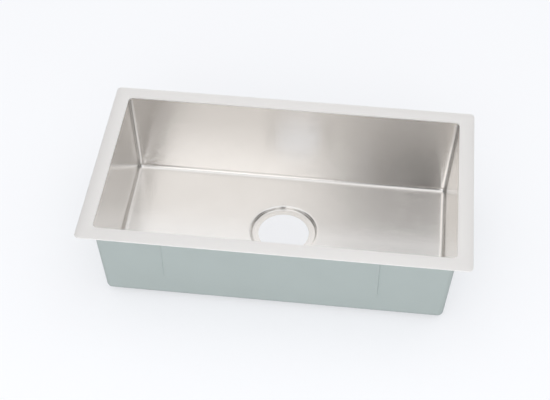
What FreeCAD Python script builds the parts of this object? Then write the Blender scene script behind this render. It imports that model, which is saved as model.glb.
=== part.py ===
import FreeCAD, Part
import os

import Sketcher

# Undermount kitchen sink: a bowl welded up from steel sheet, a flat mitred rim, rubber sound pads stuck to
# the outside and one sprayed coat over walls, floor and pads.
#
# Frame: millimetres, +Z up, +X to the right along the long side, front at -Y. The origin is under the middle
# of the rim, on the surface that the sink stands on, which is the underside of the drain recess.

SIZES = (
    ("rim_length", 780, "rim, left to right"),
    ("rim_breadth", 450, "rim, front to back"),
    ("rim_width", 31, "flat rim beside the opening"),
    ("rim_thickness", 2, "rim strips"),
    ("rim_corner", 10, "outside corners of the rim"),
    ("sheet", 1.2, "steel of walls, corners and floor"),
    ("bowl_depth", 196, "rim top to bowl floor"),
    ("wall_slope", 3.5, "lean of the walls, degrees"),
    ("bowl_radius", 10, "inside of every bend and corner"),
    ("seam_margin", 3, "flat sheet between a bend and its welded seam"),
    ("drain_hole", 110, "waste hole, diameter"),
    ("drain_ledge", 12.5, "flat ledge round the hole"),
    ("drain_foot", 2.5, "inside radius at the foot of the recess"),
    ("drain_step", 0.5, "upright part of the recess wall"),
    ("drain_shoulder", 5, "radius from the floor into the recess"),
    ("drain_back", 20, "hole behind the middle of the bowl"),
    ("pad_thickness", 2.5, "rubber pads"),
    ("pad_corner", 22, "corners of the pads"),
    ("pad_drop", 3, "rim underside to the top of a wall pad"),
    ("pad_height", 150, "wall pads, up and down"),
    ("long_pad_length", 434, "front and back pads"),
    ("long_pad_shift", -6, "front pad, off the middle"),
    ("end_pad_length", 230, "left and right pads"),
    ("floor_pad_margin", 28, "lower bend to the pads under the floor"),
    ("floor_pad_gap", 14, "drain recess to the pads round it"),
    ("front_pad_length", 140, "pad under the floor in front of the drain, left to right"),
    ("coat", 0.8, "sprayed coat"),
    ("coat_mask", 6, "bare ring round the drain recess"),
)

# Places worked out from the sizes.
PLACES = (
    ("recess_wall", "sizes.drain_hole / 2 + sizes.drain_ledge + sizes.drain_foot"),
    ("recess_edge", "recess_wall + sizes.drain_shoulder"),
    ("foot_level", "sizes.sheet + sizes.drain_foot"),
    ("shoulder_level", "foot_level + sizes.drain_step"),
    ("floor_top", "shoulder_level + sizes.drain_shoulder"),
    ("floor_under", "floor_top - sizes.sheet"),
    ("rim_top", "floor_top + sizes.bowl_depth"),
    ("rim_under", "rim_top - sizes.rim_thickness"),
    ("half_length", "sizes.rim_length / 2 - sizes.rim_width"),
    ("half_breadth", "sizes.rim_breadth / 2 - sizes.rim_width"),
    ("seam_inset", "sizes.bowl_radius + sizes.seam_margin"),
    ("floor_inset", "sizes.bowl_depth * tan(sizes.wall_slope) + sizes.bowl_radius + sizes.floor_pad_margin"),
    ("mitre_reach", "sizes.rim_width + 2 * sizes.bowl_radius"),
    ("above", "rim_top + sizes.rim_width"),
)

SIDES = (("front", 0), ("right", 90), ("back", 180), ("left", 270))
WALL_PADS = {
    "front": ("sizes.long_pad_length", "sizes.long_pad_shift"),
    "right": ("sizes.end_pad_length", "0"),
    "back": ("sizes.long_pad_length", "0"),
    "left": ("sizes.end_pad_length", "0"),
}
CORNERS = (("front_left", 0), ("front_right", 90), ("back_right", 180), ("back_left", 270))

UPRIGHT = FreeCAD.Rotation(FreeCAD.Vector(1, 0, 0), 90)
HALVES = ("places.half_length", "places.half_breadth")

doc = FreeCAD.newDocument("undermount_sink")


def fill_sheets():
    """The driving sizes as plain numbers, and the places that follow from them."""
    sizes = doc.addObject("Spreadsheet::Sheet", "sizes")
    for row, (alias, size, note) in enumerate(SIZES, start=1):
        sizes.set(f"A{row}", note)
        sizes.set(f"B{row}", str(size))
        sizes.setAlias(f"B{row}", alias)
    places = doc.addObject("Spreadsheet::Sheet", "places")
    for row, (alias, formula) in enumerate(PLACES, start=1):
        places.set(f"A{row}", "=" + formula)
        places.setAlias(f"A{row}", alias)
    doc.recompute()


def bind(item, **properties):
    for name, expression in properties.items():
        item.setExpression(name, expression)
    return item


def turned(heading):
    """Placement that turns something built for the front to another side."""
    return FreeCAD.Placement(FreeCAD.Vector(), FreeCAD.Rotation(FreeCAD.Vector(0, 0, 1), heading))


def halves(heading):
    """Half the opening across a side and half of it towards that side."""
    return HALVES if heading % 180 == 0 else HALVES[::-1]


# Sloping faces -------------------------------------------------------------------------------------------


def face_at(half, level, outwards):
    """Distance from the middle to a wall's inner face at a level, the face moved outwards square to itself."""
    lean = f"(places.rim_top - ({level})) * tan(sizes.wall_slope)"
    return f"{half} - {lean} + ({outwards}) / cos(sizes.wall_slope)"


def sloped_sides(item, bottom, top, across, towards):
    """Bind a wedge that stands between two levels. Each side gives the face's place at a level."""
    return bind(
        item,
        Ymin=bottom,
        Ymax=top,
        Xmin=across[0](bottom),
        X2min=across[0](top),
        Xmax=across[1](bottom),
        X2max=across[1](top),
        Zmin=towards[0](bottom),
        Z2min=towards[0](top),
        Zmax=towards[1](bottom),
        Z2max=towards[1](top),
    )


def plus(half, outwards):
    return lambda level: face_at(half, level, outwards)


def minus(half, outwards):
    return lambda level: f"-({face_at(half, level, outwards)})"


def bowl_form(name, outwards, top):
    """Solid with the bowl's inner shape grown outwards: sloping sides, every edge but the top ones rounded."""
    body = doc.addObject("PartDesign::Body", name)
    block = body.newObject("PartDesign::AdditiveWedge", name + "_block")
    long_half, short_half = HALVES
    sloped_sides(
        block,
        f"places.floor_top - ({outwards})",
        top,
        (minus(long_half, outwards), plus(long_half, outwards)),
        (minus(short_half, outwards), plus(short_half, outwards)),
    )
    doc.recompute()
    highest = block.Shape.BoundBox.YMax
    rounded = [
        f"Edge{number}"
        for number, edge in enumerate(block.Shape.Edges, start=1)
        if edge.BoundBox.YMin < highest - block.Shape.BoundBox.YLength / 2
    ]
    bends = body.newObject("PartDesign::Fillet", name + "_bends")
    bends.Base = (block, rounded)
    bind(bends, Radius=f"sizes.bowl_radius + {outwards}")
    body.Placement = FreeCAD.Placement(FreeCAD.Vector(), UPRIGHT)
    return body


def cell(name, heading, across, towards):
    """Tall block between sloping seams, which cuts one piece out of the bowl's sheet."""
    block = doc.addObject("Part::Wedge", name)
    sloped_sides(block, "-sizes.sheet", "places.above", across, towards)
    block.Placement = turned(heading) * FreeCAD.Placement(FreeCAD.Vector(), UPRIGHT)
    return block


def outer(level):
    """Beyond every wall, whatever the level."""
    return "sizes.rim_length"


# Booleans ------------------------------------------------------------------------------------------------


def cut(name, base, tool):
    item = doc.addObject("Part::Cut", name)
    item.Base = base
    item.Tool = tool
    return item


def common(name, base, tool):
    item = doc.addObject("Part::Common", name)
    item.Base = base
    item.Tool = tool
    return item


def fuse(name, shapes):
    item = doc.addObject("Part::MultiFuse", name)
    item.Shapes = shapes
    item.Refine = True
    return item


# Sketches ------------------------------------------------------------------------------------------------


def origin_plane(body, role):
    return next(item for item in body.Origin.OriginFeatures if item.Role == role)


def new_sketch(body, name, role):
    sketch = body.newObject("Sketcher::SketchObject", name)
    sketch.AttachmentSupport = [(origin_plane(body, role), "")]
    sketch.MapMode = "FlatFace"
    return sketch


def value(expression):
    """What an expression comes to now."""
    return float(doc.sizes.evalExpression(expression))


def hold(sketch, kind, geometry, expression):
    """Add a dimension and bind it."""
    index = sketch.addConstraint(Sketcher.Constraint(kind, *geometry, value(expression)))
    sketch.setExpression(f"Constraints[{index}]", expression)


def outline(sketch, corners):
    """Closed outline through corners (x, y). A corner (x, y, centre_x, centre_y, turn) is reached by an arc
    about that centre, anticlockwise for a turn of 1 and clockwise for -1."""
    start, end, ends = 1, 2, []
    for here, there in zip(corners, corners[1:] + corners[:1]):
        first = FreeCAD.Vector(value(here[0]), value(here[1]), 0)
        last = FreeCAD.Vector(value(there[0]), value(there[1]), 0)
        if len(there) == 2:
            edge = sketch.addGeometry(Part.LineSegment(first, last), False)
            ends.append((edge, start, end))
            continue
        centre = FreeCAD.Vector(value(there[2]), value(there[3]), 0)
        low, high = (first, last) if there[4] > 0 else (last, first)
        circle = Part.Circle(centre, FreeCAD.Vector(0, 0, 1), (first - centre).Length)
        arc = Part.ArcOfCircle(circle, circle.parameter(low), circle.parameter(high))
        edge = sketch.addGeometry(arc, False)
        ends.append((edge, start, end) if there[4] > 0 else (edge, end, start))
    for (edge, _, tail), (following, head, _) in zip(ends, ends[1:] + ends[:1]):
        sketch.addConstraint(Sketcher.Constraint("Coincident", edge, tail, following, head))
    for (edge, head, _), here, there in zip(ends, corners, corners[1:] + corners[:1]):
        hold(sketch, "DistanceX", (edge, head), here[0])
        hold(sketch, "DistanceY", (edge, head), here[1])
        if len(there) > 2:
            hold(sketch, "Radius", (edge,), f"hypot({there[0]} - ({there[2]}); {there[1]} - ({there[3]}))")


def rectangle(sketch, left, right, low, high):
    outline(sketch, [(left, low), (right, low), (right, high), (left, high)])


def slab(name, left, right, low, high, thickness, corner):
    """Flat plate on the XY plane with its four corners rounded."""
    body = doc.addObject("PartDesign::Body", name)
    sketch = new_sketch(body, name + "_outline", "XY_Plane")
    rectangle(sketch, left, right, low, high)
    plate = body.newObject("PartDesign::Pad", name + "_plate")
    plate.Profile = sketch
    bind(plate, Length=thickness)
    doc.recompute()
    upright = [
        f"Edge{number}"
        for number, edge in enumerate(plate.Shape.Edges, start=1)
        if edge.BoundBox.ZLength > max(edge.BoundBox.XLength, edge.BoundBox.YLength)
    ]
    corners = body.newObject("PartDesign::Fillet", name + "_corners")
    corners.Base = (plate, upright)
    bind(corners, Radius=corner)
    return body


# Steel ---------------------------------------------------------------------------------------------------


def bowl_sheet(hollow):
    """The bowl's whole sheet, open at the top, before its seams are laid out."""
    skin = bowl_form("bowl_outside", "sizes.sheet", "places.rim_under")
    return cut("bowl_sheet", skin, hollow)


def wall_pieces(bowl):
    """Four wall sheets, each with its lower bend and a strip of floor up to the seam."""
    pieces = []
    for side, heading in SIDES:
        half, out = halves(heading)
        seam = "-places.seam_inset"
        block = cell(side + "_cell", heading, (minus(half, seam), plus(half, seam)), (plus(out, seam), outer))
        pieces.append(common(side + "_wall", bowl, block))
    return pieces


def corner_pieces(bowl):
    """Four pressed corners: an upright round corner that ends in a ball-shaped foot."""
    pieces = []
    for place, heading in CORNERS:
        half, out = halves(heading)
        seam = "-places.seam_inset"
        beyond = (lambda level: f"-({outer(level)})", minus(half, seam))
        block = cell(place + "_cell", heading, beyond, (plus(out, seam), outer))
        pieces.append(common("corner_" + place, bowl, block))
    return pieces


def drain_recess():
    """Pressed recess round the drain: shoulder, upright step, foot and a flat ledge with the waste hole."""
    body = doc.addObject("PartDesign::Body", "drain_recess")
    sketch = new_sketch(body, "drain_section", "XZ_Plane")
    hole, wall, edge = "sizes.drain_hole / 2", "places.recess_wall", "places.recess_edge"
    ledge = "places.recess_wall - sizes.drain_foot"
    wall_outside = "places.recess_wall + sizes.sheet"
    foot, shoulder = "places.foot_level", "places.shoulder_level"
    outline(
        sketch,
        [
            (edge, "places.floor_top"),
            (wall, shoulder, edge, shoulder, 1),
            (wall, foot),
            (ledge, "sizes.sheet", ledge, foot, -1),
            (hole, "sizes.sheet"),
            (hole, "0"),
            (ledge, "0"),
            (wall_outside, foot, ledge, foot, 1),
            (wall_outside, shoulder),
            (edge, "places.floor_under", edge, shoulder, -1),
        ],
    )
    turn = body.newObject("PartDesign::Revolution", "drain_turn")
    turn.Profile = sketch
    turn.ReferenceAxis = (sketch, ["V_Axis"])
    turn.Angle = 360
    body.setExpression("Placement.Base.y", "sizes.drain_back")
    return body


def drain_cylinder(name, radius):
    """Cylinder on the drain's axis, from below the sink to above it."""
    cylinder = bind(doc.addObject("Part::Cylinder", name), Radius=radius, Height="2 * places.above")
    cylinder.setExpression("Placement.Base.y", "sizes.drain_back")
    cylinder.setExpression("Placement.Base.z", "-places.above")
    return cylinder


def floor_piece(bowl):
    """Floor sheet between the seams, with the drain recess pressed into it."""
    seam = "-places.seam_inset"
    long_half, short_half = HALVES
    middle = cell(
        "floor_cell",
        0,
        (minus(long_half, seam), plus(long_half, seam)),
        (minus(short_half, seam), plus(short_half, seam)),
    )
    flat = common("floor_flat", bowl, middle)
    opened = cut("floor_opened", flat, drain_cylinder("recess_cylinder", "places.recess_edge"))
    return fuse("floor_pan", [opened, drain_recess()])


def rim_pieces(hollow):
    """Four flat strips, mitred at the corners, whose inner edges are flush with the bowl's inside."""
    blank = slab(
        "rim_blank",
        "-sizes.rim_length / 2",
        "sizes.rim_length / 2",
        "-sizes.rim_breadth / 2",
        "sizes.rim_breadth / 2",
        "sizes.rim_thickness",
        "sizes.rim_corner",
    )
    blank.setExpression("Placement.Base.z", "places.rim_under")
    frame = cut("rim_frame", blank, hollow)
    pieces = []
    for side, heading in SIDES:
        along, out = ("sizes.rim_length / 2", "sizes.rim_breadth / 2")[:: 1 if heading % 180 == 0 else -1]
        mitre = bind(
            doc.addObject("Part::Wedge", side + "_mitre"),
            Ymin=f"-({out})",
            Ymax=f"-({out} - places.mitre_reach)",
            Xmin=f"-({along})",
            Xmax=along,
            X2min=f"-({along} - places.mitre_reach)",
            X2max=f"{along} - places.mitre_reach",
            Zmin="0",
            Z2min="0",
            Zmax="places.above",
            Z2max="places.above",
        )
        mitre.Placement = turned(heading)
        pieces.append(common("rim_" + side, frame, mitre))
    return pieces


# Pads and coat -------------------------------------------------------------------------------------------


def wall_pad(prefix, side, heading, grown):
    """Pad on the outside of a wall, or with grown the shape that the coat has over it."""
    _, out = halves(heading)
    length, shift = WALL_PADS[side]
    pad = slab(
        prefix + "pad_" + side,
        f"{shift} - {length} / 2 - {grown}",
        f"{shift} + {length} / 2 + {grown}",
        f"-sizes.pad_drop - sizes.pad_height - {grown}",
        f"-sizes.pad_drop + {grown}",
        f"sizes.pad_thickness + {grown}",
        f"sizes.pad_corner + {grown}",
    )
    seat = face_at(out, "places.rim_under", "sizes.sheet")
    turn = f"placement(vector(0; 0; 0); rotation(vector(0; 0; 1); {heading}))"
    lean = "rotation(vector(1; 0; 0); 90 + sizes.wall_slope)"
    pad.setExpression("Placement", f"{turn} * placement(vector(0; -({seat}); places.rim_under); {lean})")
    return pad


def floor_pad(name, left, right, low, high, grown):
    """Pad under the floor, or with grown the shape that the coat has over it."""
    pad = slab(
        name,
        f"{left} - {grown}",
        f"{right} + {grown}",
        f"{low} - {grown}",
        f"{high} + {grown}",
        f"sizes.pad_thickness + {grown}",
        f"sizes.pad_corner + {grown}",
    )
    pad.setExpression("Placement.Base.z", f"places.floor_under - sizes.pad_thickness - {grown}")
    return pad


def pad_set(prefix, grown):
    """All the pads, or with grown their shapes in the coat."""
    pads = [wall_pad(prefix, side, heading, grown) for side, heading in SIDES]
    inner = "(places.recess_edge + sizes.floor_pad_gap)"
    far, edge = (f"({half} - places.floor_inset)" for half in HALVES)
    pads.append(floor_pad(prefix + "floor_pad_left", f"-{far}", f"-{inner}", f"-{edge}", edge, grown))
    pads.append(floor_pad(prefix + "floor_pad_right", inner, far, f"-{edge}", edge, grown))
    side = "sizes.front_pad_length / 2"
    near = f"sizes.drain_back - {inner}"
    pads.append(floor_pad(prefix + "floor_pad_front", f"-{side}", side, f"-{edge}", near, grown))
    return pads


def sprayed_coat(pads):
    """One film over walls, corners, floor and pads, open round the drain recess."""
    film = bowl_form("coat_outside", "(sizes.sheet + sizes.coat)", "places.rim_under")
    mask = drain_cylinder("coat_mask", "places.recess_edge + sizes.coat_mask")
    covered = fuse("coat_shape", [film] + pad_set("coat_over_", "sizes.coat"))
    within = fuse("coat_inside", [doc.bowl_outside, mask] + pads)
    return cut("undercoat", covered, within)


def check(pieces):
    """Stop if anything failed, or if a piece isn't one sound solid."""
    for item in doc.Objects:
        if "Invalid" in item.State or "Error" in item.State:
            raise RuntimeError(f"{item.Name} failed: {item.State}")
    for piece in pieces:
        if piece.Shape.isNull() or not piece.Shape.isValid() or len(piece.Shape.Solids) != 1:
            raise RuntimeError(f"{piece.Label} isn't one sound solid")
        print(f"{piece.Label}: {piece.Shape.Volume / 1000:.2f} cm3")


def main():
    fill_sheets()
    hollow = bowl_form("bowl_inside", "0", "places.above")
    bowl = bowl_sheet(hollow)
    pieces = [floor_piece(bowl)] + wall_pieces(bowl) + corner_pieces(bowl) + rim_pieces(hollow)
    pads = pad_set("", "0")
    pieces += pads
    pieces.append(sprayed_coat(pads))
    doc.recompute()
    check(pieces)
    os.makedirs("parts", exist_ok=True)
    for piece in pieces:
        piece.Shape.exportStep(os.path.join("parts", piece.Label + ".step"))


main()
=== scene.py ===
"""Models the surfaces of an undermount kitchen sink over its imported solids, with their finishes.

The bowl's nine parts are cut from one rounded lining, so they meet without a step. The rim's
four strips, the sprayed coat, the rubber of the pads under it and the studio have an operator
each.
"""

import math

import bmesh
import bpy
from bpy.props import FloatProperty, FloatVectorProperty, IntProperty, PointerProperty
from mathutils import Matrix, Vector


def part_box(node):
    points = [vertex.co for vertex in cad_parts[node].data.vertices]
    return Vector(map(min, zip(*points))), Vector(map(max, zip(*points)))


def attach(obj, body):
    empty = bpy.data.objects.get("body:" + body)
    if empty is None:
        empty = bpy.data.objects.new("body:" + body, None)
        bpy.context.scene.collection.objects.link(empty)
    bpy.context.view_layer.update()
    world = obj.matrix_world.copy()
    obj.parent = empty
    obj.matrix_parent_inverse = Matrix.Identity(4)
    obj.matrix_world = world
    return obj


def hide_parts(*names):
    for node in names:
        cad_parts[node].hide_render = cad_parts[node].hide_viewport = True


bl_info = {
    "name": "Undermount Kitchen Sink",
    "version": (1, 0, 0),
    "blender": (4, 5, 0),
    "location": "3D View > Sidebar > Sink",
    "description": "Models a welded steel sink bowl with its rim, drain recess and sprayed coat",
    "category": "Mesh",
}

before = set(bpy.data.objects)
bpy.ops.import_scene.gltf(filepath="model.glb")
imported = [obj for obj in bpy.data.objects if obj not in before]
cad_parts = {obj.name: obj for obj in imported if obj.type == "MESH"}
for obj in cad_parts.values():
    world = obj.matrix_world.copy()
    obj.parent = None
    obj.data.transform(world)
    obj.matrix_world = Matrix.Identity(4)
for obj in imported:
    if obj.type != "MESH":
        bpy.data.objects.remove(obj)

RIM_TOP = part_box("rim_front")[1].z
RIM_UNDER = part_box("rim_front")[0].z
FLOOR_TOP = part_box("floor_pan")[1].z
HALF_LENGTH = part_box("rim_right")[1].x
HALF_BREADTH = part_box("rim_back")[1].y

# Each part of the bowl by its column (left to right) and row (front to back) in the seam grid.
BOWL_PARTS = {
    "front_wall": (0, -1),
    "back_wall": (0, 1),
    "left_wall": (-1, 0),
    "right_wall": (1, 0),
    "corner_front_left": (-1, -1),
    "corner_front_right": (1, -1),
    "corner_back_left": (-1, 1),
    "corner_back_right": (1, 1),
}
RIM_STRIPS = {
    "rim_front": (0, -1),
    "rim_back": (0, 1),
    "rim_left": (-1, 0),
    "rim_right": (1, 0),
}
WALL_PADS = {
    "pad_front": (0, -1),
    "pad_back": (0, 1),
    "pad_left": (-1, 0),
    "pad_right": (1, 0),
}
FLOOR_PADS = ("floor_pad_left", "floor_pad_right", "floor_pad_front")

# The coat climbs over a pad's edge, starting COAT_REACH outside it, in these steps of
# (inward, outward). It keeps COAT_BORDER flat round each side and stops COAT_GAP below the rim.
COAT_REACH = 0.0020
COAT_CLIMB = ((0.0003, 0.0), (0.0004, 0.0004), (0.0006, 0.0017), (0.0004, 0.0004), (0.0006, 0.0))
COAT_BORDER = 0.0008
COAT_GAP = 0.0001

# The flat floor that belongs to the spun drain recess, round its shoulder.
DRAIN_BORDER = 0.003

# How many faces go round the drain and the coat's hole, across each radius of the recess, round
# the corner of a flat outline and across the rim's softened edge.
RING_STEPS = 96
RECESS_STEPS = 8
CORNER_STEPS = 10
RIM_EDGE_STEPS = 3

# How near a point has to be to lie on a circle, and on the plane of a cut.
ON_CIRCLE = 1e-5
ON_PLANE = 1e-6

# A face looks up if its normal's height is over LOOKS_UP, and is upright if it is under UPRIGHT.
# It is end-on to an axis if its normal's share along that is END_ON or more, and half way between
# two axes if its shares along them differ by less than DIAGONAL.
LOOKS_UP = 0.9
UPRIGHT = 0.1
END_ON = 0.99
DIAGONAL = 1e-3

# The least area of a strip's mitred end and of the coat's large flats, in square metres.
MITRE_AREA = 2e-5
FLAT_AREA = 0.02

# Edges with a sharper angle than this stay sharp in the shading.
CREASE = math.radians(33)

# The steel is brushed along one of these axes. Its streaks repeat this often in a metre.
GRAIN_AXIS = {
    "length": Vector((1, 0, 0)),
    "breadth": Vector((0, 1, 0)),
    "height": Vector((0, 0, 1)),
}
GRAIN_ALONG = 12.0
GRAIN_ACROSS = 1500.0

# How often the soft stains and the clouds, pebbles and specks repeat in a metre.
STAINS = 9.0
COAT_CLOUDS = 11.0
COAT_PEBBLES = 420.0
RUBBER_SPECKS = 300.0

# How much more the steel's roughness changes with its streaks and stains than its colour does.
ROUGH_CHANGE = 1.5

WHITE = (1.0, 1.0, 1.0, 1.0)
BLACK = (0.0, 0.0, 0.0, 1.0)

# The light of the room and the floor as they are seen, and of the cards.
ROOM_SEEN = (0.985, 0.99, 1.0, 1.0)
FLOOR_SEEN = (0.97, 0.978, 1.0, 1.0)
CARD_TINT = (1.0, 0.97, 0.94, 1.0)
FLOOR_SIDE = 60.0

# Each lamp by its place, the point it looks at, its size, the studio's setting for its power and
# whether the steel mirrors it.
LAMPS = {
    "top_lamp": ((0.3, 0.3, 2.6), (0, 0, 0), 2.2, "top_light", False),
    "front_lamp": ((0.3, -3.0, 1.2), (0, 0, 0), 2.5, "front_light", False),
    "left_lamp": ((-0.95, -2.5, 1.4), (-0.95, 0, 0.1), 1.8, "left_light", True),
}
# The upright grey cards that stand in the steel as its darker parts, by two corners and shade.
CARDS = {
    "low_front_card": ((0.09, -2.3, 0.6), (0.80, -2.3, 2.6), 0.10),
    "high_front_card": ((-0.02, -2.3, 2.6), (0.68, -2.3, 3.8), 0.16),
    "cloud_card": ((-1.9, -2.3, 2.8), (-0.02, -2.3, 4.4), 0.78),
    "back_card": ((0.06, 2.5, 1.2), (0.85, 2.5, 2.65), 0.10),
    "left_card": ((-1.5, -0.6, 0.3), (-1.5, 2.0, 2.3), 0.15),
    "right_card": ((1.7, -0.6, 0.3), (1.7, 2.0, 2.3), 0.15),
}


def length(name, description, default):
    """A size that a user can change, in metres."""
    return FloatProperty(
        name=name, description=description, default=default, min=0.0, precision=4, unit="LENGTH"
    )


def colour(name, description, default):
    """A colour that a user can change."""
    return FloatVectorProperty(
        name=name, description=description, default=default, min=0.0, max=1.0, size=3,
        subtype="COLOR",
    )


def share(name, description, default, high=1.0):
    """A plain number from 0 to high that a user can change."""
    return FloatProperty(name=name, description=description, default=default, min=0.0, max=high)


class SinkSizes(bpy.types.PropertyGroup):
    """Sizes of the steel, the drain recess, the pads and the coat."""

    sheet: length("Sheet", "Thickness of the bowl's steel", 0.0012)
    rim_width: length("Rim Width", "Width of the flat rim round the bowl", 0.031)
    rim_corner: length("Rim Corner", "Radius of the rim's outer corners", 0.010)
    rim_edge: length("Rim Edge", "Radius along the rim's upper edges", 0.0005)
    wall_slope: FloatProperty(
        name="Wall Slope", description="How far the walls lean out from upright",
        default=math.radians(3.5), min=0.0, max=0.5, subtype="ANGLE",
    )
    bowl_radius: length("Bowl Radius", "Inside radius between walls and floor", 0.010)
    seam_inset: length("Seam Inset", "Distance of each weld seam from its wall", 0.013)
    drain_offset: length("Drain Offset", "Distance of the drain behind the middle", 0.02)
    drain_hole: length("Drain Hole", "Radius of the drain hole", 0.055)
    drain_wall: length("Drain Wall", "Radius of the drain recess at its upright wall", 0.07)
    drain_level: length("Drain Level", "Height of the drain ledge's upper side", 0.0012)
    drain_foot: length("Drain Foot", "Radius from the ledge to the recess wall", 0.0025)
    drain_shoulder: length("Drain Shoulder", "Radius from the recess wall to the floor", 0.005)
    pad_corner: length("Pad Corner", "Radius of the pads' corners", 0.022)
    coat: length("Coat", "Thickness of the sprayed coat", 0.0008)
    coat_hole: length("Coat Hole", "Radius left without coat round the drain", 0.081)
    round_steps: IntProperty(
        name="Round Steps", description="Faces across each rounded edge of the bowl",
        default=14, min=2, max=48,
    )


class SinkFinish(bpy.types.PropertyGroup):
    """Colours and roughness of the steel, the coat and the rubber; the rim's colour also holds
    painted light.
    """

    bowl_colour: colour("Bowl Steel", "Colour of the bowl's brushed steel", (0.875, 0.855, 0.833))
    bowl_roughness: share("Bowl Roughness", "Roughness of the bowl's brushed steel", 0.16)
    # The rim's colour is partly its steel and partly painted light: it is lifted nearly to white to
    # stand in for the brightness of its top.
    rim_steel_and_painted_light: colour("Rim Steel", "Colour of the rim's matt steel", (0.985, 0.97, 0.955))
    rim_roughness: share("Rim Roughness", "Roughness of the rim's matt steel", 0.65)
    coat_colour: colour("Sprayed Coat", "Colour of the coat", (0.455, 0.515, 0.506))
    coat_roughness: share("Coat Roughness", "Roughness of the coat", 0.62)
    rubber_colour: colour("Pad Rubber", "Colour of the damping pads", (0.05, 0.05, 0.052))


class SinkStudio(bpy.types.PropertyGroup):
    """Floor, light and camera of the studio."""

    floor_colour: colour("Floor", "Colour of the studio floor", (0.40, 0.405, 0.42))
    floor_glow: share("Floor Glow", "How much the floor is lifted towards white where seen", 0.56)
    room_light: share("Room Light", "Strength of the even light from all round", 0.85, 4.0)
    top_light: share("Top Light", "Power of the lamp overhead, in watts", 8.0, 500.0)
    front_light: share("Front Light", "Power of the lamp at the front", 32.0, 500.0)
    left_light: share("Left Light", "Power of the lamp at the front left", 7.0, 500.0)
    card_light: share("Card Light", "Brightness of the grey cards that the steel mirrors", 1.0)
    lens: FloatProperty(
        name="Lens", description="Focal length of the camera in millimetres",
        default=83.77, min=10.0, max=400.0,
    )
    camera_place: FloatVectorProperty(
        name="Camera Place", description="Where the camera stands",
        default=(0.1841, -1.8583, 2.0625), size=3, subtype="TRANSLATION", unit="LENGTH",
    )
    camera_yaw: FloatProperty(
        name="Camera Yaw", description="Turn of the camera to the right of straight ahead",
        default=math.radians(-6.178), subtype="ANGLE",
    )
    camera_pitch: FloatProperty(
        name="Camera Pitch", description="Tilt of the camera below the horizon",
        default=math.radians(46.062), subtype="ANGLE",
    )
    camera_roll: FloatProperty(
        name="Camera Roll", description="Roll of the camera about its line of sight",
        default=math.radians(0.291), subtype="ANGLE",
    )


# ---------------------------------------------------------------- shapes


def add_rectangle(bm, place, width, height):
    """Adds a flat rectangle round a place's origin; returns its corners."""
    made = bmesh.ops.create_grid(
        bm, x_segments=1, y_segments=1, size=0.5,
        matrix=place @ Matrix.Diagonal((width, height, 1, 1)),
    )
    return made["verts"]


def round_off(bm, geom, radius, steps, affect="EDGES"):
    """Rounds edges, or the corners of a flat face, starting at the distance radius from them."""
    bmesh.ops.bevel(
        bm, geom=geom, offset=radius, offset_type="OFFSET", affect=affect, segments=steps,
        profile=0.5, material=-1,
    )


def new_object(bm, name, material):
    """Turns the mesh being made into an object of the scene."""
    mesh = bpy.data.meshes.new(name)
    bm.to_mesh(mesh)
    bm.free()
    mesh.materials.append(material)
    made = bpy.data.objects.new(name, mesh)
    bpy.context.scene.collection.objects.link(made)
    return made


def half_opening(sizes, level, outset=0.0):
    """Half the bowl's length and breadth at a level, for a skin that far outside its lining."""
    shift = outset / math.cos(sizes.wall_slope) - (RIM_TOP - level) * math.tan(sizes.wall_slope)
    return Vector((
        HALF_LENGTH - sizes.rim_width + shift,
        HALF_BREADTH - sizes.rim_width + shift,
    ))


def edge_offset(sizes, outset):
    """How far the rounding of the bowl's edges starts from the edge."""
    return (sizes.bowl_radius + outset) * math.tan((math.pi / 2 - sizes.wall_slope / 2) / 2)


def bowl_skin(sizes, outset, top):
    """An open tapered box with rounded edges, that far outside the lining, up to the level top."""
    bm = bmesh.new()
    bmesh.ops.create_cube(bm, size=2.0)
    for vert in bm.verts:
        level = top if vert.co.z > 0 else FLOOR_TOP - outset
        half = half_opening(sizes, level, outset)
        vert.co = (vert.co.x * half.x, vert.co.y * half.y, level)
    bm.normal_update()
    lid = [face for face in bm.faces if face.normal.z > LOOKS_UP]
    bmesh.ops.delete(bm, geom=lid, context="FACES_ONLY")
    inner = [edge for edge in bm.edges if len(edge.link_faces) == 2]
    round_off(bm, inner, edge_offset(sizes, outset), sizes.round_steps)
    return bm


def slice_at(bm, point, normal, drop_upper=True):
    """Cuts the whole mesh by a plane, and drops what lies on its upper side unless told not to."""
    bmesh.ops.bisect_plane(
        bm, geom=bm.verts[:] + bm.edges[:] + bm.faces[:], dist=ON_PLANE,
        plane_co=point, plane_no=normal, clear_outer=drop_upper,
    )


def seam_plane(sizes, axis, side):
    """A point and the outward normal of the weld seam along one wall."""
    half = half_opening(sizes, RIM_TOP, -sizes.seam_inset)
    point, normal = Vector((0, 0, RIM_TOP)), Vector((0, 0, -math.tan(sizes.wall_slope)))
    point[axis], normal[axis] = side * half[axis], side
    return point, normal.normalized()


def cut_cell(bm, sizes, column, row):
    """Keeps only one cell of the seam grid."""
    for axis, place in ((0, column), (1, row)):
        for side in (-1, 1):
            point, normal = seam_plane(sizes, axis, side)
            if place == side:
                slice_at(bm, point, -normal)
            elif place == 0:
                slice_at(bm, point, normal)


def thicken(bm, amount):
    """Gives an open skin its thickness away from the side that its faces look to."""
    bmesh.ops.solidify(bm, geom=bm.faces[:], thickness=amount)
    bm.normal_update()
    if bm.calc_volume(signed=True) < 0:
        bmesh.ops.reverse_faces(bm, faces=bm.faces[:])


def crease(bm):
    """Shades the mesh smooth apart from its true edges."""
    for face in bm.faces:
        face.smooth = True
    for edge in bm.edges:
        edge.smooth = len(edge.link_faces) != 2 or edge.calc_face_angle() < CREASE


def lay_grain(bm, axis):
    """Maps the steel so that U runs with its grain, which follows one axis of the sink."""
    layer = bm.loops.layers.uv.new("grain")
    for face in bm.faces:
        along = axis if abs(face.normal.dot(axis)) < END_ON else GRAIN_AXIS["length"]
        across = face.normal.cross(along)
        for loop in face.loops:
            loop[layer].uv = (loop.vert.co.dot(along), loop.vert.co.dot(across))


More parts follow.
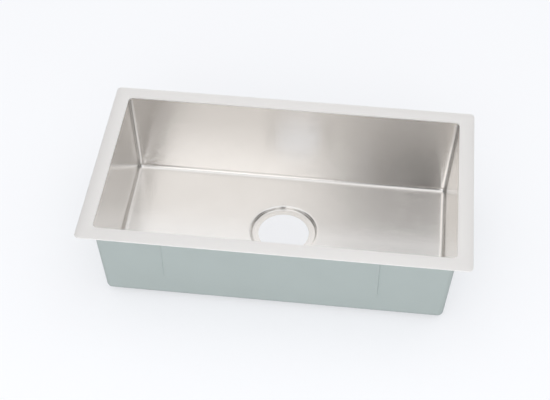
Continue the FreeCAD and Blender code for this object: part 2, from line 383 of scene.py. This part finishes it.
def finish_piece(bm, name, material, slot, *nodes, grain=None):
    """Makes the mesh an object under the root body in place of its CAD nodes, which it hides."""
    if grain:
        bm.normal_update()
        lay_grain(bm, GRAIN_AXIS[grain])
    crease(bm)
    piece = new_object(bm, name, material)
    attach(piece, "root")
    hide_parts(*nodes)


def look_up(bm):
    """Turns an open skin's faces the same way, with the widest of them looking up."""
    bmesh.ops.recalc_face_normals(bm, faces=bm.faces[:])
    widest = max(bm.faces, key=lambda face: face.calc_area())
    if widest.normal.z < 0:
        bmesh.ops.reverse_faces(bm, faces=bm.faces[:])


def ring_edges(bm, centre, radius, level):
    """The edges of the circle of that radius and level."""
    def on_ring(vert):
        away = (vert.co.xy - centre).length
        return abs(away - radius) < ON_CIRCLE and abs(vert.co.z - level) < ON_CIRCLE

    return [edge for edge in bm.edges if all(on_ring(vert) for vert in edge.verts)]


def spin_drain(bm, sizes):
    """Adds the drain recess, spun about its axis; returns its outer edges on the floor."""
    centre = Vector((0.0, sizes.drain_offset))
    outer = sizes.drain_wall + sizes.drain_shoulder + DRAIN_BORDER
    profile = (
        (sizes.drain_hole, sizes.drain_level),
        (sizes.drain_wall, sizes.drain_level),
        (sizes.drain_wall, FLOOR_TOP),
        (outer, FLOOR_TOP),
    )
    verts = [bm.verts.new((r, centre.y, z)) for r, z in profile]
    edges = [bm.edges.new(pair) for pair in zip(verts, verts[1:])]
    bmesh.ops.spin(
        bm, geom=verts + edges, cent=(0, centre.y, 0), axis=(0, 0, 1), angle=math.tau,
        steps=RING_STEPS, use_merge=True,
    )
    for level, radius in ((sizes.drain_level, sizes.drain_foot), (FLOOR_TOP, sizes.drain_shoulder)):
        round_off(bm, ring_edges(bm, centre, sizes.drain_wall, level), radius, RECESS_STEPS)
    return ring_edges(bm, centre, outer, FLOOR_TOP)


def open_face(bm, face, margin):
    """Leaves a narrow flat border round a face, opens the rest and returns its edges."""
    bmesh.ops.inset_individual(bm, faces=[face], thickness=margin, use_even_offset=True)
    edges = face.edges[:]
    bmesh.ops.delete(bm, geom=[face], context="FACES_ONLY")
    return edges


def raised_panel(bm, place, width, height, corner, steps):
    """Adds a rounded panel whose edge climbs in steps of (inward, outward); returns its outline."""
    known = set(bm.faces)
    corners = add_rectangle(bm, place, width, height)
    round_off(bm, corners, corner, CORNER_STEPS, affect="VERTICES")
    panel = next(face for face in bm.faces if face not in known)
    for inward, outward in steps:
        bmesh.ops.inset_individual(
            bm, faces=[panel], thickness=inward, depth=outward, use_even_offset=True
        )
    added = [face for face in bm.faces if face not in known]
    return [edge for face in added for edge in face.edges if edge.is_boundary]


class SINK_OT_bowl(bpy.types.Operator):
    """Make the bowl's walls and corners, cut from one rounded lining"""

    bl_idname = "sink.bowl"
    bl_label = "Walls and Corners"

    def execute(self, context):
        sizes, finish = context.scene.sink_sizes, context.scene.sink_finish
        lining = bowl_skin(sizes, 0.0, RIM_UNDER)
        slice_at(lining, (0, 0, FLOOR_TOP + sizes.seam_inset), (0, 0, 1), drop_upper=False)
        for name, (column, row) in BOWL_PARTS.items():
            bm = lining.copy()
            cut_cell(bm, sizes, column, row)
            bmesh.ops.reverse_faces(bm, faces=bm.faces[:])
            thicken(bm, sizes.sheet)
            grain = "length" if column == 0 else "height"
            finish_piece(
                bm, name + "_steel", bowl_steel(finish, grain), "bowl_steel", name, grain=grain
            )
        lining.free()
        return {"FINISHED"}


class SINK_OT_floor(bpy.types.Operator):
    """Make the bowl's floor with its drain recess"""

    bl_idname = "sink.floor"
    bl_label = "Floor and Drain Recess"

    def execute(self, context):
        sizes, finish = context.scene.sink_sizes, context.scene.sink_finish
        bm = bowl_skin(sizes, 0.0, RIM_UNDER)
        cut_cell(bm, sizes, 0, 0)
        bmesh.ops.delete(bm, geom=bm.faces[:], context="FACES_ONLY")
        outline = bm.edges[:]
        outline += spin_drain(bm, sizes)
        bmesh.ops.triangle_fill(bm, edges=outline, use_beauty=True)
        look_up(bm)
        thicken(bm, sizes.sheet)
        finish_piece(
            bm, "floor_pan_steel", bowl_steel(finish, "length"), "bowl_steel", "floor_pan",
            grain="length",
        )
        return {"FINISHED"}


class SINK_OT_rim(bpy.types.Operator):
    """Make the rim's four mitred strips"""

    bl_idname = "sink.rim"
    bl_label = "Rim"

    def execute(self, context):
        sizes, finish = context.scene.sink_sizes, context.scene.sink_finish
        flat = bmesh.new()
        outlines = []
        for half, corner in (
            (Vector((HALF_LENGTH, HALF_BREADTH)), sizes.rim_corner),
            (half_opening(sizes, RIM_TOP), edge_offset(sizes, 0.0)),
        ):
            place = Matrix.Translation((0, 0, RIM_TOP))
            outlines += raised_panel(flat, place, 2 * half.x, 2 * half.y, corner, ())
        bmesh.ops.delete(flat, geom=flat.faces[:], context="FACES_ONLY")
        bmesh.ops.bridge_loops(flat, edges=outlines)
        for name, (column, row) in RIM_STRIPS.items():
            bm = flat.copy()
            for end in (-1, 1):
                side_x, side_y = column or end, row or end
                mitre = Vector((-side_x, side_y, 0)) if column else Vector((side_x, -side_y, 0))
                slice_at(bm, (side_x * HALF_LENGTH, side_y * HALF_BREADTH, RIM_TOP), mitre)
            look_up(bm)
            thicken(bm, RIM_TOP - RIM_UNDER)
            soften_rim(bm, sizes)
            grain = "breadth" if row == 0 else "length"
            finish_piece(
                bm, name + "_steel", rim_steel(finish, grain), "rim_steel", name, grain=grain
            )
        flat.free()
        return {"FINISHED"}


def is_mitre(face):
    """Whether an upright face is the mitred end of a rim strip, not a facet of a round corner."""
    slant = abs(abs(face.normal.x) - abs(face.normal.y))
    return slant < DIAGONAL and face.calc_area() > MITRE_AREA


def soften_rim(bm, sizes):
    """Rounds a strip's upper edges, leaving its mitred ends square."""
    edges = []
    for edge in bm.edges:
        tops = [face for face in edge.link_faces if face.normal.z > LOOKS_UP]
        sides = [face for face in edge.link_faces if abs(face.normal.z) < UPRIGHT]
        if len(tops) == 1 and len(sides) == 1 and not is_mitre(sides[0]):
            edges.append(edge)
    round_off(bm, edges, sizes.rim_edge, RIM_EDGE_STEPS)


def flat_faces(bm):
    """The large flats of the coat's skin, by the side that they face; the bottom is (0, 0)."""
    bm.normal_update()
    flats = {}
    for face in bm.faces:
        if face.calc_area() > FLAT_AREA:
            side = face.normal.xy if face.normal.z > -LOOKS_UP else Vector((0, 0))
            flats[(round(side.x), round(side.y))] = face
    return flats


def coat_panel(bm, sizes, place, width, height):
    """Adds the coat's raised panel over a pad of that size; returns its outline."""
    return raised_panel(
        bm, place, width + 2 * COAT_REACH, height + 2 * COAT_REACH,
        sizes.pad_corner + COAT_REACH, COAT_CLIMB,
    )


def wall_panel(bm, sizes, name, side, outset):
    """Adds the coat's raised panel over a wall pad; returns its outline."""
    low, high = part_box(name)
    slope = sizes.wall_slope
    outward = Vector((side[0] * math.cos(slope), side[1] * math.cos(slope), -math.sin(slope)))
    along = Vector((-side[1], side[0], 0))
    turn = Matrix((along, outward.cross(along), outward)).transposed().to_4x4()
    middle, size = (low + high) / 2, high - low
    half = half_opening(sizes, middle.z, outset)
    facing, sideways = (0, 1) if side[0] else (1, 0)
    middle[facing] = (side[0] + side[1]) * half[facing]
    place = Matrix.Translation(middle) @ turn
    return coat_panel(bm, sizes, place, size[sideways], size.z / math.cos(slope))


def floor_panel(bm, sizes, name, level):
    """Adds the coat's raised panel under a floor pad; returns its outline."""
    low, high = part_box(name)
    middle, size = (low + high) / 2, high - low
    place = Matrix.Translation((middle.x, middle.y, level)) @ Matrix.Rotation(math.pi, 4, "X")
    return coat_panel(bm, sizes, place, size.x, size.y)


class SINK_OT_undercoat(bpy.types.Operator):
    """Make the sprayed coat, raised softly over the pads"""

    bl_idname = "sink.undercoat"
    bl_label = "Sprayed Coat"

    def execute(self, context):
        sizes, finish = context.scene.sink_sizes, context.scene.sink_finish
        outset = sizes.sheet + sizes.coat
        level = FLOOR_TOP - outset
        bm = bowl_skin(sizes, outset, RIM_UNDER - COAT_GAP)
        flats = flat_faces(bm)
        for name, side in WALL_PADS.items():
            outline = open_face(bm, flats[side], COAT_BORDER)
            outline += wall_panel(bm, sizes, name, side, outset)
            bmesh.ops.triangle_fill(bm, edges=outline, use_beauty=True)
        outline = open_face(bm, flats[(0, 0)], COAT_BORDER)
        for name in FLOOR_PADS:
            outline += floor_panel(bm, sizes, name, level)
        bmesh.ops.create_circle(
            bm, segments=RING_STEPS, radius=sizes.coat_hole,
            matrix=Matrix.Translation((0, sizes.drain_offset, level)),
        )
        outline += ring_edges(bm, Vector((0, sizes.drain_offset)), sizes.coat_hole, level)
        bmesh.ops.triangle_fill(bm, edges=outline, use_beauty=True)
        bmesh.ops.recalc_face_normals(bm, faces=bm.faces[:])
        lowest = min(bm.faces, key=lambda face: face.calc_center_median().z)
        if lowest.normal.z > 0:
            bmesh.ops.reverse_faces(bm, faces=bm.faces[:])
        thicken(bm, sizes.coat)
        finish_piece(bm, "sprayed_undercoat", sprayed_coat(finish), "sprayed_coat", "undercoat")
        return {"FINISHED"}


class SINK_OT_pads(bpy.types.Operator):
    """Give the damping pads under the coat their rubber"""

    bl_idname = "sink.pads"
    bl_label = "Pad Rubber"

    def execute(self, context):
        rubber = pad_rubber(context.scene.sink_finish)
        for name in list(WALL_PADS) + list(FLOOR_PADS):
            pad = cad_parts[name]
            for place in pad.material_slots:
                place.material = rubber
        return {"FINISHED"}


# ---------------------------------------------------------------- finishes


def new_group(name, sockets):
    """An empty shader node group with these (name, direction, type, default) sockets."""
    group = bpy.data.node_groups.new(name, "ShaderNodeTree")
    for label, direction, kind, default in sockets:
        socket = group.interface.new_socket(name=label, in_out=direction, socket_type=kind)
        if default is not None:
            socket.default_value = default
    return group


def add(tree, kind, **settings):
    """Adds a node to a tree and sets its properties."""
    node = tree.nodes.new(kind)
    for name, value in settings.items():
        setattr(node, name, value)
    return node


def feed(tree, node, values):
    """Links a node's inputs to the values that are sockets, and sets the others."""
    for place, value in values.items():
        if isinstance(value, bpy.types.NodeSocket):
            tree.links.new(value, node.inputs[place])
        else:
            node.inputs[place].default_value = value


def math_node(tree, operation, first, second):
    """A Math node on two sockets or numbers."""
    node = add(tree, "ShaderNodeMath", operation=operation)
    feed(tree, node, {0: first, 1: second})
    return node.outputs[0]


def noise(tree, place, scale, detail):
    """A Noise node over a place."""
    node = add(tree, "ShaderNodeTexNoise")
    feed(tree, node, {"Vector": place, "Scale": scale, "Detail": detail})
    return node.outputs[0]


def swing(tree, height, amount):
    """A noise's height about its middle, times an amount."""
    return math_node(tree, "MULTIPLY", math_node(tree, "SUBTRACT", height, 0.5), amount)


def tinted(tree, tone, change):
    """A colour made lighter or darker by a share of itself."""
    tint = add(tree, "ShaderNodeVectorMath", operation="SCALE")
    feed(tree, tint, {0: tone, "Scale": math_node(tree, "ADD", change, 1.0)})
    return tint.outputs[0]


def raise_surface(tree, shader, height, strength, depth):
    """Gives a shader bumps that follow a height, up to depth in metres."""
    bump = add(tree, "ShaderNodeBump")
    feed(tree, bump, {"Strength": strength, "Distance": depth, "Height": height})
    feed(tree, shader, {"Normal": bump.outputs["Normal"]})


def brushed_grain():
    """The group that gives the fine streaks and soft stains of rolled and brushed steel."""
    known = bpy.data.node_groups.get("brushed_grain")
    if known:
        return known
    group = new_group("brushed_grain", (
        ("Stretch", "INPUT", "NodeSocketVector", (1.0, 1.0, 1.0)),
        ("Colour", "INPUT", "NodeSocketColor", (0.8, 0.8, 0.8, 1.0)),
        ("Roughness", "INPUT", "NodeSocketFloat", 0.3),
        ("Streaks", "INPUT", "NodeSocketFloat", 0.03),
        ("Stains", "INPUT", "NodeSocketFloat", 0.03),
        ("Colour", "OUTPUT", "NodeSocketColor", None),
        ("Roughness", "OUTPUT", "NodeSocketFloat", None),
        ("Height", "OUTPUT", "NodeSocketFloat", None),
    ))
    given = add(group, "NodeGroupInput").outputs
    place = add(group, "ShaderNodeTexCoord").outputs["Object"]
    stretch = add(group, "ShaderNodeVectorMath", operation="MULTIPLY")
    feed(group, stretch, {0: place, 1: given["Stretch"]})
    fine = noise(group, stretch.outputs[0], scale=1.0, detail=3.0)
    soft = noise(group, place, scale=STAINS, detail=4.0)
    change = math_node(
        group, "ADD", swing(group, fine, given["Streaks"]), swing(group, soft, given["Stains"])
    )
    rough = math_node(group, "MULTIPLY", change, ROUGH_CHANGE)
    feed(group, add(group, "NodeGroupOutput"), {
        "Colour": tinted(group, given["Colour"], change),
        "Roughness": math_node(group, "ADD", given["Roughness"], rough),
        "Height": fine,
    })
    return group


def mottle():
    """The group that varies a colour in soft specks and gives the same specks as a height."""
    known = bpy.data.node_groups.get("mottle")
    if known:
        return known
    group = new_group("mottle", (
        ("Colour", "INPUT", "NodeSocketColor", (0.5, 0.5, 0.5, 1.0)),
        ("Scale", "INPUT", "NodeSocketFloat", 100.0),
        ("Contrast", "INPUT", "NodeSocketFloat", 0.1),
        ("Colour", "OUTPUT", "NodeSocketColor", None),
        ("Height", "OUTPUT", "NodeSocketFloat", None),
    ))
    given = add(group, "NodeGroupInput").outputs
    place = add(group, "ShaderNodeTexCoord").outputs["Object"]
    speck = noise(group, place, scale=given["Scale"], detail=3.0)
    change = swing(group, speck, given["Contrast"])
    feed(group, add(group, "NodeGroupOutput"), {
        "Colour": tinted(group, given["Colour"], change),
        "Height": speck,
    })
    return group


def new_material(name):
    """A new material with only a Principled shader; returns it, its tree and that shader."""
    material = bpy.data.materials.new(name)
    material.use_nodes = True
    tree = material.node_tree
    tree.nodes.clear()
    shader = add(tree, "ShaderNodeBsdfPrincipled")
    feed(tree, add(tree, "ShaderNodeOutputMaterial"), {"Surface": shader.outputs[0]})
    return material, tree, shader


def brushed_steel(name, tone, roughness, grain, *, pull, streaks, stains, depth):
    """Steel with its grain along the part's length, breadth or height, in one material each."""
    known = bpy.data.materials.get(name)
    if known:
        return known
    material, tree, shader = new_material(name)
    group = add(tree, "ShaderNodeGroup", node_tree=brushed_grain())
    feed(tree, group, {
        "Stretch": [GRAIN_ALONG if part else GRAIN_ACROSS for part in GRAIN_AXIS[grain]],
        "Colour": (*tone, 1.0),
        "Roughness": roughness,
        "Streaks": streaks,
        "Stains": stains,
    })
    along = add(tree, "ShaderNodeTangent", direction_type="UV_MAP", uv_map="grain")
    feed(tree, shader, {
        "Metallic": 1.0,
        "Base Color": group.outputs["Colour"],
        "Roughness": group.outputs["Roughness"],
        "Tangent": along.outputs[0],
        "Anisotropic": pull,
        "Anisotropic Rotation": 0.25,
    })
    raise_surface(tree, shader, group.outputs["Height"], strength=1.0, depth=depth)
    return material


def bowl_steel(finish, grain):
    """The bowl's satin steel."""
    return brushed_steel(
        "bowl_steel_" + grain, finish.bowl_colour, finish.bowl_roughness, grain,
        pull=1.0, streaks=0.02, stains=0.05, depth=0.00010,
    )


def rim_steel(finish, grain):
    """The rim's matt steel, its colour lifted nearly to white as painted light that stands in for
    its bright top.
    """
    return brushed_steel(
        "rim_steel_" + grain, finish.rim_steel_and_painted_light, finish.rim_roughness, grain,
        pull=0.0, streaks=0.02, stains=0.03, depth=0.00003,
    )


def mottled(tree, tone, scale, contrast):
    """The outputs of a mottle group with its values set."""
    node = add(tree, "ShaderNodeGroup", node_tree=mottle())
    feed(tree, node, {"Colour": (*tone, 1.0), "Scale": scale, "Contrast": contrast})
    return node.outputs


def sprayed_coat(finish):
    """The matt, faintly pebbled coat, with soft clouds in its colour."""
    material, tree, shader = new_material("sprayed_coat")
    clouds = mottled(tree, finish.coat_colour, COAT_CLOUDS, contrast=0.08)
    feed(tree, shader, {"Base Color": clouds["Colour"], "Roughness": finish.coat_roughness})
    pebbles = mottled(tree, finish.coat_colour, COAT_PEBBLES, contrast=0.0)
    raise_surface(tree, shader, pebbles["Height"], strength=0.35, depth=0.0003)
    return material


def pad_rubber(finish):
    """The pads' black rubber."""
    material, tree, shader = new_material("pad_rubber_black")
    specks = mottled(tree, finish.rubber_colour, RUBBER_SPECKS, contrast=0.6)
    feed(tree, shader, {"Base Color": specks["Colour"], "Roughness": 0.8})
    return material


# ---------------------------------------------------------------- studio


def shown_rays(tree):
    """A mask of the rays that see the background: straight, in gloss and through glass."""
    path = add(tree, "ShaderNodeLightPath").outputs
    seen = math_node(tree, "MAXIMUM", path["Is Camera Ray"], path["Is Glossy Ray"])
    return math_node(tree, "MAXIMUM", seen, path["Is Transmission Ray"])


def studio_world(studio):
    """An even white room."""
    world = bpy.data.worlds.new("studio_room")
    bpy.context.scene.world = world
    world.use_nodes = True
    tree = world.node_tree
    tree.nodes.clear()
    lit = add(tree, "ShaderNodeBackground")
    feed(tree, lit, {"Color": WHITE, "Strength": studio.room_light})
    seen = add(tree, "ShaderNodeBackground")
    feed(tree, seen, {"Color": ROOM_SEEN, "Strength": 1.0})
    mix = add(tree, "ShaderNodeMixShader")
    feed(tree, mix, {"Fac": shown_rays(tree), 1: lit.outputs[0], 2: seen.outputs[0]})
    feed(tree, add(tree, "ShaderNodeOutputWorld"), {"Surface": mix.outputs[0]})


def studio_floor(studio):
    """A wide pale floor that stays near white where it is seen and keeps the sink's shadow."""
    material, tree, shader = new_material("studio_floor")
    feed(tree, shader, {
        "Base Color": (*studio.floor_colour, 1.0),
        "Roughness": 0.9,
        "Specular IOR Level": 0.0,
        "Emission Color": FLOOR_SEEN,
        "Emission Strength": math_node(tree, "MULTIPLY", shown_rays(tree), studio.floor_glow),
    })
    bm = bmesh.new()
    add_rectangle(bm, Matrix.Identity(4), FLOOR_SIDE, FLOOR_SIDE)
    floor = new_object(bm, "studio_floor", material)


def studio_lamp(name, place, aim, size, power, mirrored):
    """A square soft lamp that looks at a point, and that the steel may mirror."""
    lamp = bpy.data.lights.new(name, "AREA")
    lamp.shape = "SQUARE"
    lamp.size = size
    lamp.energy = power
    holder = bpy.data.objects.new(name, lamp)
    holder.location = place
    holder.rotation_euler = (Vector(aim) - Vector(place)).to_track_quat("-Z", "Y").to_euler()
    holder.visible_glossy = mirrored
    bpy.context.scene.collection.objects.link(holder)


def studio_card(name, low, high, shade):
    """An upright grey card between two of its corners, which only the steel mirrors."""
    material, tree, shader = new_material(name)
    feed(tree, shader, {
        "Base Color": BLACK,
        "Specular IOR Level": 0.0,
        "Emission Color": CARD_TINT,
        "Emission Strength": shade,
    })
    low, high = Vector(low), Vector(high)
    span = high - low
    turn = Matrix.Rotation(0.0 if span.x else math.pi / 2, 4, "Z") @ Matrix.Rotation(
        math.pi / 2, 4, "X"
    )
    place = Matrix.Translation((low + high) / 2) @ turn
    bm = bmesh.new()
    add_rectangle(bm, place, max(span.x, span.y), span.z)
    card = new_object(bm, name, material)
    card.visible_camera = card.visible_diffuse = card.visible_shadow = False


def studio_camera(studio):
    """The camera, placed and turned as in the photograph."""
    yaw, pitch, roll = studio.camera_yaw, studio.camera_pitch, studio.camera_roll
    ahead = Vector((
        math.sin(yaw) * math.cos(pitch), math.cos(yaw) * math.cos(pitch), -math.sin(pitch)
    ))
    right = Vector((math.cos(yaw), -math.sin(yaw), 0.0))
    up = right.cross(ahead)
    side = right * math.cos(roll) + up * math.sin(roll)
    top = up * math.cos(roll) - right * math.sin(roll)
    turn = Matrix((side, top, -ahead)).transposed().to_4x4()
    camera = bpy.data.cameras.new("photo_camera")
    camera.lens = studio.lens
    camera.sensor_width = 36.0
    camera.clip_end = 100.0
    holder = bpy.data.objects.new("photo_camera", camera)
    holder.matrix_world = Matrix.Translation(studio.camera_place) @ turn
    bpy.context.scene.collection.objects.link(holder)
    bpy.context.scene.camera = holder


class SINK_OT_studio(bpy.types.Operator):
    """Set up the floor, the light and the camera"""

    bl_idname = "sink.studio"
    bl_label = "Studio"

    def execute(self, context):
        studio = context.scene.sink_studio
        context.scene.view_settings.view_transform = "Standard"
        studio_world(studio)
        studio_floor(studio)
        for name, (place, aim, size, light, mirrored) in LAMPS.items():
            studio_lamp(name, place, aim, size, getattr(studio, light), mirrored)
        for name, (low, high, shade) in CARDS.items():
            studio_card(name, low, high, shade * studio.card_light)
        studio_camera(studio)
        return {"FINISHED"}


class SINK_PT_panel(bpy.types.Panel):
    """Sizes, finishes and steps of the sink"""

    bl_idname = "SINK_PT_panel"
    bl_label = "Kitchen Sink"
    bl_space_type = "VIEW_3D"
    bl_region_type = "UI"
    bl_category = "Sink"

    def draw(self, context):
        layout = self.layout
        for step in STEPS:
            layout.operator(step.bl_idname)
        for label, group in (
            ("Sizes", context.scene.sink_sizes),
            ("Finishes", context.scene.sink_finish),
            ("Studio", context.scene.sink_studio),
        ):
            box = layout.box()
            box.label(text=label)
            for name in group.bl_rna.properties.keys():
                if name not in ("rna_type", "name"):
                    box.prop(group, name)


STEPS = (
    SINK_OT_bowl, SINK_OT_floor, SINK_OT_rim, SINK_OT_undercoat, SINK_OT_pads, SINK_OT_studio
)
CLASSES = (SinkSizes, SinkFinish, SinkStudio) + STEPS + (SINK_PT_panel,)


def register():
    """Makes the add-on's classes known, and gives the scene its settings."""
    for kind in CLASSES:
        bpy.utils.register_class(kind)
    bpy.types.Scene.sink_sizes = PointerProperty(type=SinkSizes)
    bpy.types.Scene.sink_finish = PointerProperty(type=SinkFinish)
    bpy.types.Scene.sink_studio = PointerProperty(type=SinkStudio)


def unregister():
    """Takes the settings and the classes away again."""
    del bpy.types.Scene.sink_studio
    del bpy.types.Scene.sink_finish
    del bpy.types.Scene.sink_sizes
    for kind in reversed(CLASSES):
        bpy.utils.unregister_class(kind)


def main():
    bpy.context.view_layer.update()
    register()
    bpy.ops.sink.bowl()
    bpy.ops.sink.floor()
    bpy.ops.sink.rim()
    bpy.ops.sink.undercoat()
    bpy.ops.sink.pads()
    bpy.ops.sink.studio()


if __name__ == "__main__":
    main()
